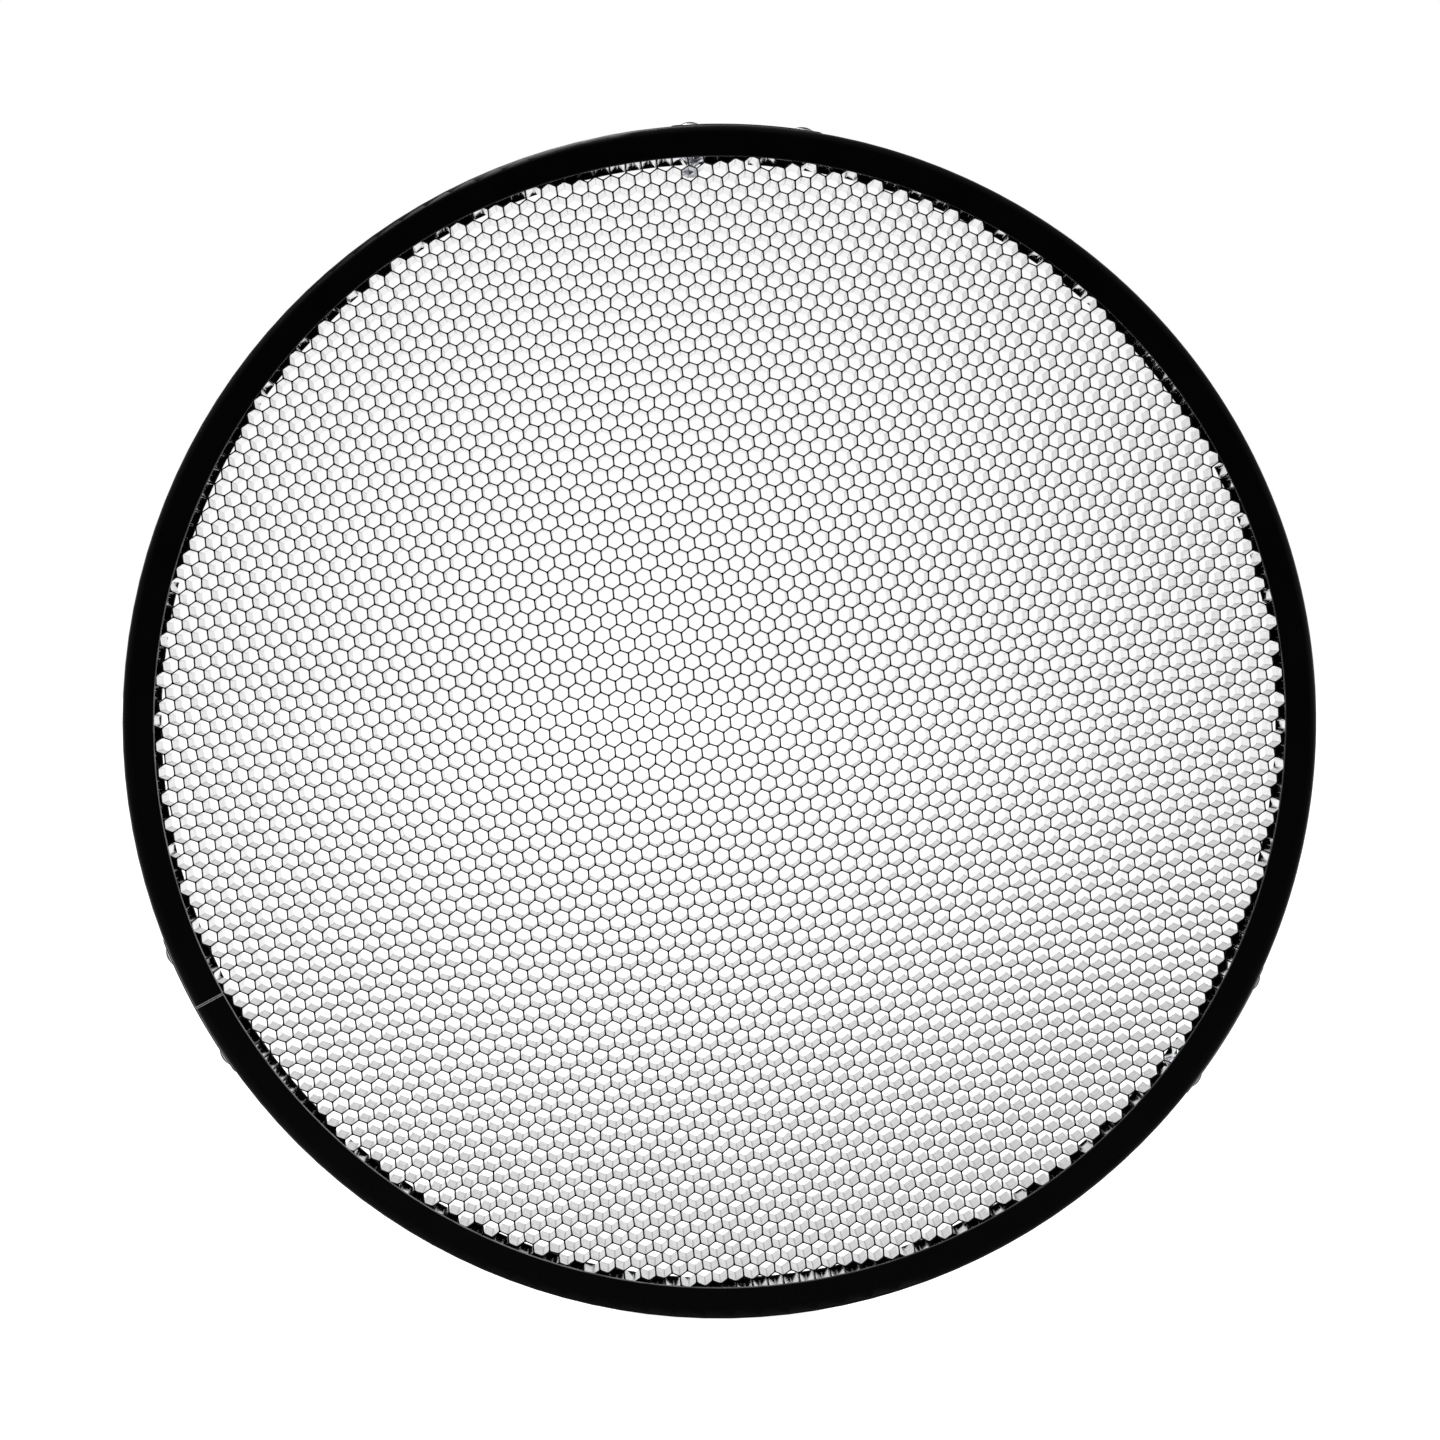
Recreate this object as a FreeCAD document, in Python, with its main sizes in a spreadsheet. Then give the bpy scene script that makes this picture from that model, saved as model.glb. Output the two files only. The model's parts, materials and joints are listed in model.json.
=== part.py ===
"""Round honeycomb grid for a studio reflector: a rolled ring that holds a foil honeycomb core.

The ring's axis is Y. Its front faces -Y, its rear face lies at y = 0 and +Z is up. The origin is the
centre of the rear face. Clock angles run from +Z towards +X. Three spring clips are riveted to the
outside of the ring and reach back over the rim of the reflector that carries the grid.
All sizes are millimetres and degrees.
"""

import FreeCAD, Part
import math
import os
import Sketcher

SIZES = {
    "ring_radius": 250.0,
    "ring_sheet": 1.0,
    "flange_width": 13.6,
    "bend_radius": 4.0,
    "edge_round": 0.3,
    "joint_gap": 0.4,
    "core_thickness": 25.4,
    "core_rim_gap": 0.3,
    "core_face_gap": 0.6,
    "clip_1_angle": 2.5,
    "clip_2_angle": 121.4,
    "clip_3_angle": 241.5,
    "clip_sheet": 1.0,
    "base_width": 64.0,
    "base_margin": 6.0,
    "base_corner": 4.0,
    "hinge_inset": 1.4,
    "hinge_gap": 0.4,
    "tongue_width": 30.0,
    "tongue_straight": 7.0,
    "detent_drop": 3.4,
    "detent_reach": 3.6,
    "lip_rise": 5.0,
    "lip_reach": 5.4,
    "bend_inside": 1.5,
    "tongue_corner": 3.0,
    "rivet_spacing": 48.0,
    "rivet_shank": 4.8,
    "rivet_clearance": 0.1,
    "head_diameter": 9.5,
    "head_height": 1.7,
    "bulb_diameter": 7.2,
    "bulb_length": 4.0,
    "tail_length": 4.0,
    "pocket_clearance": 0.3,
    "mandrel_stem": 2.6,
    "mandrel_clearance": 0.05,
    "mandrel_dimple": 0.7,
    "mandrel_head": 4.2,
    "mandrel_head_length": 2.8,
}

document = FreeCAD.newDocument("honeycomb_grid")
sheet = document.addObject("Spreadsheet::Sheet", "Sizes")
for row, (alias, number) in enumerate(SIZES.items(), start=1):
    sheet.set("A%d" % row, alias)
    sheet.set("B%d" % row, str(number))
    sheet.setAlias("B%d" % row, alias)
document.recompute()

# Lengths that several pieces share, written as expressions over the sheet.
RING_RADIUS = "Sizes.ring_radius"
RING_DEPTH = "(Sizes.core_thickness + Sizes.core_face_gap + 2 * Sizes.ring_sheet)"
RIVET_BACK = "(%s / 2)" % RING_DEPTH
HINGE_BACK = "(Sizes.bend_radius - Sizes.hinge_inset)"
WALL_INSIDE = "(Sizes.ring_radius - Sizes.ring_sheet)"
FLANGE_INSIDE = "(Sizes.ring_radius - Sizes.flange_width)"
CLIP_OUTSIDE = "(Sizes.ring_radius + Sizes.clip_sheet)"
FOLD_RADIUS = "(Sizes.bend_radius - Sizes.ring_sheet)"
CORE_RADIUS = "(Sizes.ring_radius - Sizes.ring_sheet - Sizes.core_rim_gap)"
HALF_SHANK = "Sizes.rivet_shank / 2"
HALF_BULB = "Sizes.bulb_diameter / 2"
BULB_SEAT = "sqrt(%s ^ 2 - (%s) ^ 2)" % (WALL_INSIDE, HALF_BULB)
BLIND_END = "(%s - Sizes.bulb_length - Sizes.tail_length)" % BULB_SEAT
BORE_RADIUS = "(Sizes.mandrel_stem / 2 + Sizes.mandrel_clearance)"
HALF_HEAD = "(Sizes.head_diameter / 2)"
DOME_RADIUS = "((%s ^ 2 + Sizes.head_height ^ 2) / 2 / Sizes.head_height)" % HALF_HEAD
RIVET_HALF_ANGLE = "(Sizes.rivet_spacing / 2 / Sizes.ring_radius * 180 / pi)"

CLIP_ANGLES = ["Sizes.clip_%d_angle" % number for number in (1, 2, 3)]
RIVET_ANGLES = [
    "%s %s %s" % (angle, side, RIVET_HALF_ANGLE) for angle in CLIP_ANGLES for side in "-+"
]


def value(expression):
    """Return an expression's number in millimetres or degrees."""
    result = sheet.evalExpression(expression)
    return float(getattr(result, "Value", result))


def turn(placed, expression):
    """Turn an object about the ring's axis, from +X to a clock angle."""
    placed.Placement = FreeCAD.Placement(
        placed.Placement.Base, FreeCAD.Rotation(FreeCAD.Vector(0, 1, 0), value(expression) - 90)
    )
    placed.setExpression("Placement.Rotation.Angle", "%s - 90" % expression)


def new_body(label):
    body = document.addObject("PartDesign::Body", label)
    body.Label = label
    return body


def origin_plane(body, role):
    return next(plane for plane in body.Origin.OriginFeatures if plane.Role == role)


def outline(body, label, corners, dome=None):
    """Draw a closed outline on the body's XY plane through corners given as expressions.

    dome makes one side an arc about a point of the X axis: the number of the side's first corner,
    and the arc's radius as an expression.
    """
    sketch = body.newObject("Sketcher::SketchObject", label)
    sketch.AttachmentSupport = (origin_plane(body, "XY_Plane"), "")
    sketch.MapMode = "FlatFace"
    points = [FreeCAD.Vector(value(x), value(y), 0) for x, y in corners]
    sides = [Part.LineSegment(a, b) for a, b in zip(points, points[1:] + points[:1])]
    if dome:
        first, radius = dome
        sides[first] = arc_about_axis(points[first], points[first + 1], value(radius))
    sketch.addGeometry(sides, False)
    for index in range(len(points)):
        following = (index + 1) % len(points)
        sketch.addConstraint(Sketcher.Constraint("Coincident", index, 2, following, 1))
    for index, (x, y) in enumerate(corners):
        pin_to_axis(sketch, index, "DistanceX", -2, points[index].x, x)
        pin_to_axis(sketch, index, "DistanceY", -1, points[index].y, y)
    if dome:
        row = sketch.addConstraint(Sketcher.Constraint("Radius", first, value(radius)))
        sketch.setExpression("Constraints[%d]" % row, radius)
    return sketch


def arc_about_axis(start, stop, radius):
    """Return the arc from start to stop whose centre lies on the X axis."""
    centre = FreeCAD.Vector(start.x - math.sqrt(radius**2 - start.y**2), 0, 0)
    middle = (start + stop) / 2 - centre
    return Part.Arc(start, centre + middle.normalize() * radius, stop)


def pin_to_axis(sketch, index, kind, axis, number, expression):
    """Hold one corner on an axis, or at a distance from the origin that the sheet gives."""
    if expression == "0":
        sketch.addConstraint(Sketcher.Constraint("PointOnObject", index, 1, axis))
        return
    row = sketch.addConstraint(Sketcher.Constraint(kind, -1, 1, index, 1, number))
    sketch.setExpression("Constraints[%d]" % row, expression)


def revolve(body, label, sketch, axis, angle="360"):
    """Revolve a sketch about one of its axes, evenly to both sides of the sketch."""
    feature = body.newObject("PartDesign::Revolution", label)
    feature.Profile = (sketch, [""])
    feature.ReferenceAxis = (sketch, [axis])
    feature.Midplane = True
    feature.Angle = value(angle)
    feature.setExpression("Angle", angle)
    body.Tip = feature
    document.recompute()
    return feature


def fillet(body, label, base, radius, chosen):
    """Round the edges of the base feature for which chosen(edge) is true."""
    names = ["Edge%d" % (i + 1) for i, edge in enumerate(base.Shape.Edges) if chosen(edge)]
    feature = body.newObject("PartDesign::Fillet", label)
    feature.Base = (base, names)
    feature.Radius = value(radius)
    feature.setExpression("Radius", radius)
    body.Tip = feature
    document.recompute()
    return feature


def circle_at(radius, height):
    """Choose circular edges about the ring's axis with this radius and this y."""

    def chosen(edge):
        if not isinstance(edge.Curve, Part.Circle) or abs(edge.Curve.Axis.y) < 0.99:
            return False
        centre = edge.Curve.Center
        return abs(edge.Curve.Radius - radius) < 1e-3 and abs(centre.y - height) < 1e-3

    return chosen


def radial_cylinder(label, radius, start, stop, expression):
    """Make a cylinder that lies along the radius at a clock angle, at the rivets' depth."""
    cylinder = document.addObject("Part::Cylinder", label)
    cylinder.setExpression("Radius", radius)
    cylinder.setExpression("Height", "%s - %s" % (stop, start))
    direction = value(expression)
    along = FreeCAD.Vector(math.sin(math.radians(direction)), 0, math.cos(math.radians(direction)))
    cylinder.Placement = FreeCAD.Placement(
        along * value(start) + FreeCAD.Vector(0, -value(RIVET_BACK), 0),
        FreeCAD.Rotation(FreeCAD.Vector(0, 0, 1), along),
    )
    return cylinder


def cut(label, base, tools):
    """Cut several tools from a base, and give the result the node's name."""
    tool = document.addObject("Part::MultiFuse", label + "_cutters")
    tool.Shapes = tools
    result = document.addObject("Part::Cut", label)
    result.Label = label
    result.Base = base
    result.Tool = tool
    return result


def rivet_holes(label, angles):
    """Make the drilled holes through the clip and the ring wall for the given rivets."""
    return [
        radial_cylinder(
            "%s_hole_%d" % (label, number),
            "%s + Sizes.rivet_clearance" % HALF_SHANK,
            "(%s - Sizes.ring_sheet * 3)" % WALL_INSIDE,
            "(%s + Sizes.clip_sheet * 3)" % CLIP_OUTSIDE,
            angle,
        )
        for number, angle in enumerate(angles, start=1)
    ]


def ring_channel():
    """One strip folded to a C section and rolled to a circle, its ends butted under clip 3."""
    front = "-" + RING_DEPTH
    body = new_body("ring_section")
    sketch = outline(
        body,
        "channel_outline",
        [
            (FLANGE_INSIDE, "0"),
            (RING_RADIUS, "0"),
            (RING_RADIUS, front),
            (FLANGE_INSIDE, front),
            (FLANGE_INSIDE, front + " + Sizes.ring_sheet"),
            (WALL_INSIDE, front + " + Sizes.ring_sheet"),
            (WALL_INSIDE, "-Sizes.ring_sheet"),
            (FLANGE_INSIDE, "-Sizes.ring_sheet"),
        ],
    )
    rolled = revolve(body, "rolled", sketch, "V_Axis")
    outer, inner = value(RING_RADIUS), value(WALL_INSIDE)
    depth, wall = value(RING_DEPTH), value("Sizes.ring_sheet")
    for name, height in (("rear", 0), ("front", -depth)):
        rolled = fillet(body, "%s_bend" % name, rolled, "Sizes.bend_radius", circle_at(outer, height))
    for name, height in (("rear", -wall), ("front", wall - depth)):
        rolled = fillet(body, "%s_fold" % name, rolled, FOLD_RADIUS, circle_at(inner, height))
    edge = value(FLANGE_INSIDE)
    for name, height in (("rear", 0), ("front", -depth)):
        rolled = fillet(body, "%s_edge" % name, rolled, "Sizes.edge_round", circle_at(edge, height))
    gap = document.addObject("Part::Box", "joint_gap")
    gap.setExpression("Length", "Sizes.joint_gap")
    gap.setExpression("Width", RING_DEPTH + " + 2")
    gap.setExpression("Height", "Sizes.flange_width + 2")
    across = FreeCAD.Rotation(FreeCAD.Vector(0, 1, 0), value("Sizes.clip_3_angle"))
    corner = FreeCAD.Vector(-value("Sizes.joint_gap") / 2, -depth - 1, value(FLANGE_INSIDE) - 1)
    gap.Placement = FreeCAD.Placement(across.multVec(corner), across)
    return cut("ring_channel", body, rivet_holes("ring", RIVET_ANGLES) + [gap])


def honeycomb_core():
    """The envelope of the foil core, seated on the rear flange, with room for the rivet tails."""
    rear = "-Sizes.ring_sheet"
    front = "-Sizes.ring_sheet - Sizes.core_thickness"
    body = new_body("core_disc")
    sketch = outline(
        body,
        "core_outline",
        [
            ("0", rear),
            ("%s - %s" % (CORE_RADIUS, FOLD_RADIUS), rear),
            (CORE_RADIUS, "%s - %s" % (rear, FOLD_RADIUS)),
            (CORE_RADIUS, "%s + %s" % (front, FOLD_RADIUS)),
            ("%s - %s" % (CORE_RADIUS, FOLD_RADIUS), front),
            ("0", front),
        ],
    )
    revolve(body, "core_turned", sketch, "V_Axis")
    pockets = [
        radial_cylinder(
            "core_pocket_%d" % number,
            "%s + Sizes.pocket_clearance" % HALF_BULB,
            "(%s - Sizes.mandrel_head_length - Sizes.pocket_clearance)" % BLIND_END,
            RING_RADIUS,
            angle,
        )
        for number, angle in enumerate(RIVET_ANGLES, start=1)
    ]
    return cut("honeycomb_core", body, pockets)


def clip_base(number, angle):
    """The riveted half of a spring clip: a strap that follows the ring's outer wall."""
    label = "clip_base_%d" % number
    body = new_body(label + "_strap")
    front = "-%s - Sizes.base_margin" % RIVET_BACK
    rear = "-%s - Sizes.hinge_gap / 2" % HINGE_BACK
    corners = [(RING_RADIUS, rear), (CLIP_OUTSIDE, rear), (CLIP_OUTSIDE, front), (RING_RADIUS, front)]
    sketch = outline(body, label + "_section", corners)
    width = "Sizes.base_width / Sizes.ring_radius * 180 / pi"
    strap = revolve(body, label + "_rolled", sketch, "V_Axis", width)
    fillet(
        body,
        label + "_corners",
        strap,
        "Sizes.base_corner",
        lambda edge: abs(edge.Length - value("Sizes.clip_sheet")) < 1e-3,
    )
    turn(body, angle)
    pair = RIVET_ANGLES[2 * number - 2 : 2 * number]
    return cut(label, body, rivet_holes(label, pair))


def clip_tongue(number, angle):
    """The sprung half of a clip: straight, then in to a detent and out to a lead-in lip."""
    label = "clip_tongue_%d" % number
    body = new_body(label)
    start = "-%s + Sizes.hinge_gap / 2" % HINGE_BACK
    slope_in = "atan(Sizes.detent_drop / Sizes.detent_reach)"
    slope_out = "atan(Sizes.lip_rise / Sizes.lip_reach)"
    sheet_size = "Sizes.clip_sheet"
    detent = "(%s - Sizes.detent_drop)" % RING_RADIUS
    detent_at = "(Sizes.tongue_straight + Sizes.detent_reach)"
    lip = "(%s + Sizes.lip_rise)" % detent
    lip_at = "(%s + Sizes.lip_reach)" % detent_at
    shift_in = "%s * tan(%s / 2)" % (sheet_size, slope_in)
    turned = "(%s + %s)" % (slope_in, slope_out)
    lean = "((%s - %s) / 2)" % (slope_out, slope_in)
    mitre = "%s / cos(%s / 2)" % (sheet_size, turned)
    corners = [
        (RING_RADIUS, start),
        (RING_RADIUS, "Sizes.tongue_straight"),
        (detent, detent_at),
        (lip, lip_at),
        (
            "%s + %s * cos(%s)" % (lip, sheet_size, slope_out),
            "%s - %s * sin(%s)" % (lip_at, sheet_size, slope_out),
        ),
        (
            "%s + %s * cos(%s)" % (detent, mitre, lean),
            "%s - %s * sin(%s)" % (detent_at, mitre, lean),
        ),
        (CLIP_OUTSIDE, "Sizes.tongue_straight + %s" % shift_in),
        (CLIP_OUTSIDE, start),
    ]
    sketch = outline(body, label + "_section", corners)
    width = "Sizes.tongue_width / Sizes.ring_radius * 180 / pi"
    strip = revolve(body, label + "_rolled", sketch, "V_Axis", width)
    points = [(value(x), value(y)) for x, y in corners]
    outside = "Sizes.bend_inside + Sizes.clip_sheet"
    for name, index, radius in (
        ("knee_inner", 1, "Sizes.bend_inside"),
        ("knee_outer", 6, outside),
        ("detent_inner", 2, outside),
        ("detent_outer", 5, "Sizes.bend_inside"),
    ):
        strip = fillet(body, "%s_%s" % (label, name), strip, radius, circle_at(*points[index]))
    lip_height = value(lip_at)
    fillet(
        body,
        label + "_corners",
        strip,
        "Sizes.tongue_corner",
        lambda edge: abs(edge.Length - value(sheet_size)) < 1e-3
        and edge.CenterOfMass.y > lip_height - 2 * value(sheet_size),
    )
    turn(body, angle)
    return body


def rivet(number, angle):
    """A blind rivet's hollow body: dome head outside the clip, bulb and tail inside the ring."""
    label = "rivet_%d" % number
    body = new_body(label)
    dome_centre = "(%s + Sizes.head_height - %s)" % (CLIP_OUTSIDE, DOME_RADIUS)
    tail = "%s - Sizes.bulb_length" % BULB_SEAT
    taper = "(%s - %s)" % (HALF_BULB, HALF_SHANK)
    sketch = outline(
        body,
        label + "_section",
        [
            (BLIND_END, BORE_RADIUS),
            ("%s + sqrt(%s ^ 2 - %s ^ 2)" % (dome_centre, DOME_RADIUS, BORE_RADIUS), BORE_RADIUS),
            (CLIP_OUTSIDE, HALF_HEAD),
            (CLIP_OUTSIDE, HALF_SHANK),
            (BULB_SEAT, HALF_SHANK),
            (BULB_SEAT, HALF_BULB),
            ("%s + %s" % (tail, taper), HALF_BULB),
            (tail, HALF_SHANK),
            (BLIND_END, HALF_SHANK),
        ],
        dome=(1, DOME_RADIUS),
    )
    revolve(body, label + "_turned", sketch, "H_Axis")
    body.Placement.Base = FreeCAD.Vector(0, -value(RIVET_BACK), 0)
    body.setExpression("Placement.Base.y", "-" + RIVET_BACK)
    turn(body, angle)
    return body


def mandrel(number, angle):
    """The broken-off pull stem, which stays in the rivet with its head against the tail."""
    label = "mandrel_%d" % number
    body = new_body(label)
    half_stem = "Sizes.mandrel_stem / 2"
    half_head = "Sizes.mandrel_head / 2"
    end = "%s - Sizes.mandrel_head_length" % BLIND_END
    chamfer = "(%s - %s)" % (half_head, half_stem)
    sketch = outline(
        body,
        label + "_section",
        [
            (end, "0"),
            ("%s + Sizes.head_height - Sizes.mandrel_dimple" % CLIP_OUTSIDE, "0"),
            ("%s + Sizes.head_height - Sizes.mandrel_dimple" % CLIP_OUTSIDE, half_stem),
            (BLIND_END, half_stem),
            (BLIND_END, half_head),
            ("%s + %s" % (end, chamfer), half_head),
            (end, half_stem),
        ],
    )
    revolve(body, label + "_turned", sketch, "H_Axis")
    body.Placement.Base = FreeCAD.Vector(0, -value(RIVET_BACK), 0)
    body.setExpression("Placement.Base.y", "-" + RIVET_BACK)
    turn(body, angle)
    return body


def check(nodes):
    """Stop if any object failed to recompute or any node has no valid solid."""
    for item in document.Objects:
        if "Invalid" in item.State or "Error" in item.State:
            raise RuntimeError("%s failed: %s" % (item.Label, item.State))
    for node in nodes:
        if node.Shape.isNull() or not node.Shape.isValid() or not node.Shape.Solids:
            raise RuntimeError("%s has no valid solid" % node.Label)


def main():
    nodes = [ring_channel(), honeycomb_core()]
    for number, angle in enumerate(CLIP_ANGLES, start=1):
        nodes.append(clip_base(number, angle))
        nodes.append(clip_tongue(number, angle))
    for number, angle in enumerate(RIVET_ANGLES, start=1):
        nodes.append(rivet(number, angle))
        nodes.append(mandrel(number, angle))
    document.recompute()
    check(nodes)
    os.makedirs("parts", exist_ok=True)
    for node in nodes:
        node.Shape.exportStep(os.path.join("parts", node.Label + ".step"))
        box = node.Shape.BoundBox
        print("%-18s %10.1f mm3  y %.2f to %.2f" % (node.Label, node.Shape.Volume, box.YMin, box.YMax))


main()
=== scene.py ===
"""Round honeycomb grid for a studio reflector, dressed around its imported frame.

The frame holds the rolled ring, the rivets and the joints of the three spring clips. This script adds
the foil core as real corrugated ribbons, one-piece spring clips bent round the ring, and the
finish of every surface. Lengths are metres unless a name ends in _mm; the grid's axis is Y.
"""

import json
import logging
import math
from dataclasses import dataclass
from enum import Enum
from typing import Any, Callable, Iterable, Iterator

import bpy
import numpy as np
from mathutils import Matrix, Vector


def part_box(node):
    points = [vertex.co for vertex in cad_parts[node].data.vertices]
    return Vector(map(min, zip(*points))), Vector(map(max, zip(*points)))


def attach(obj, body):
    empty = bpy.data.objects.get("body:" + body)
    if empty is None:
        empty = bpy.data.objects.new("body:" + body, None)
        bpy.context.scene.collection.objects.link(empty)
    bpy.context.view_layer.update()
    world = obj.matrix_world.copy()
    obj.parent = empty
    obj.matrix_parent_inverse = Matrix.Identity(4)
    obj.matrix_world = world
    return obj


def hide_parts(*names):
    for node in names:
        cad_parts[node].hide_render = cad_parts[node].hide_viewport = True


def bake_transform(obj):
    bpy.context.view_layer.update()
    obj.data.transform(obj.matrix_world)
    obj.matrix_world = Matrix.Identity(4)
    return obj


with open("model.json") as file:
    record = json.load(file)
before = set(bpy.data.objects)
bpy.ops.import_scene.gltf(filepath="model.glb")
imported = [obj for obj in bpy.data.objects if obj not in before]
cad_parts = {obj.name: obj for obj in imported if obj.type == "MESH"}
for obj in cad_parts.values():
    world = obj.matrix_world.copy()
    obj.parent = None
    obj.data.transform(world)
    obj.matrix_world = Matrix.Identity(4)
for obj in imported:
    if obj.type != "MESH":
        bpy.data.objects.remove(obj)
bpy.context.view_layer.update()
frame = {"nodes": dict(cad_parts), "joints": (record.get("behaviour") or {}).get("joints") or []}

LOG = logging.getLogger("honeycomb_grid")
MM = 0.001
TOUCH = 1e-6
CLOUD_RANGE = (0.35, 0.65)
FULL_CLOUD_RANGE = (0.3, 0.7)
CLIP_COUNT = 3
RIVET_COUNT = 6
JOINT_CLIP = 3


class Finish(Enum):
    """The record's material slots for the foil and the spring steel."""

    FOIL = "foil"
    CLIP = "spring_steel"


def linear(hex_colour: str) -> tuple[float, float, float, float]:
    """Turn an sRGB hex colour into linear RGBA.

    Args:
        hex_colour: Six hex digits after a hash.

    Returns:
        The colour as four linear numbers, with full alpha.
    """
    channels = [int(hex_colour[i : i + 2], 16) / 255 for i in (1, 3, 5)]
    low = [c / 12.92 for c in channels]
    high = [((c + 0.055) / 1.055) ** 2.4 for c in channels]
    return tuple(h if c > 0.04045 else l for c, l, h in zip(channels, low, high)) + (1.0,)


def add_node(tree: Any, kind: str, *sources: Any, output: int | str = 0, **named: Any) -> Any:
    """Add a shader node, set its properties, fill its inputs and return one of its outputs.

    A socket given to an input is linked, a hex colour is turned linear, and anything else becomes
    the input's own value.

    Args:
        tree: The node tree to add to.
        kind: The node's Blender type name, less the ShaderNode that it starts with.
        *sources: What its first inputs take, in order.
        output: The number or name of the output to return.
        **named: An input by its name, capitalised and with underscores for spaces, or by its
            number, as in in_6, or else a property of the node itself, such as operation.

    Returns:
        The output's socket, or the node itself if it has no output.
    """
    node = tree.nodes.new(f"ShaderNode{kind}")
    inputs = dict(enumerate(sources))
    for key, value in named.items():
        if key[0].isupper():
            inputs[key.replace("_", " ")] = value
        elif key.startswith("in_"):
            inputs[int(key[3:])] = value
        else:
            setattr(node, key, value)
    for key, value in inputs.items():
        if isinstance(value, bpy.types.NodeSocket):
            tree.links.new(value, node.inputs[key])
        else:
            node.inputs[key].default_value = linear(value) if isinstance(value, str) else value
    return node.outputs[output] if node.outputs else node


def new_material(name: str) -> tuple[Any, Any]:
    """Make a node material with nothing in it.

    Args:
        name: The material's name.

    Returns:
        The material and its node tree.
    """
    material = bpy.data.materials.new(name)
    material.use_nodes = True
    material.node_tree.nodes.clear()
    return material, material.node_tree


def clouds(tree: Any, size_mm: float, detail: float = 2.0, stretch: tuple = (1.0, 1.0, 1.0)) -> Any:
    """Add a cloudy pattern of a real size, fixed to the object.

    Args:
        tree: The node tree.
        size_mm: The size of one blotch in millimetres.
        detail: How many finer layers the pattern has.
        stretch: How many times finer the pattern is along each axis.

    Returns:
        The socket with the pattern, from 0 to 1.
    """
    place = add_node(tree, "TexCoord", output="Object")
    place = add_node(tree, "Mapping", Vector=place, Scale=stretch)
    return add_node(tree, "TexNoise", Vector=place, Scale=1 / (size_mm * MM), Detail=detail, output="Fac")


def radius_from_axis(tree: Any) -> Any:
    """Work out the distance from the ring's axis.

    Args:
        tree: The node tree.

    Returns:
        The socket with the distance.
    """
    place = add_node(tree, "TexCoord", output="Object")
    flat = add_node(tree, "VectorMath", place, (1.0, 0.0, 1.0), operation="MULTIPLY")
    return add_node(tree, "VectorMath", flat, operation="LENGTH", output="Value")


def finish_surface(
    tree: Any, factor: Any, colours: tuple[str, str], height: Any, depth_mm: float, **inputs: Any
) -> None:
    """Finish a material: blend two colours by a factor and bump it with a pattern of a real depth.

    Args:
        tree: The node tree.
        factor: The socket that blends the colours.
        colours: The hex colours where the factor is 0 and where it is 1.
        height: The socket with the bump's pattern.
        depth_mm: How deep the pattern is, in millimetres.
        **inputs: The shader's other inputs, named as for add_node.
    """
    first, second = colours
    colour = add_node(tree, "Mix", factor, in_6=first, in_7=second, data_type="RGBA", output=2)
    normal = add_node(tree, "Bump", Height=height, Distance=depth_mm * MM)
    surface = add_node(tree, "BsdfPrincipled", Base_Color=colour, Normal=normal, **inputs)
    add_node(tree, "OutputMaterial", surface)


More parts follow.
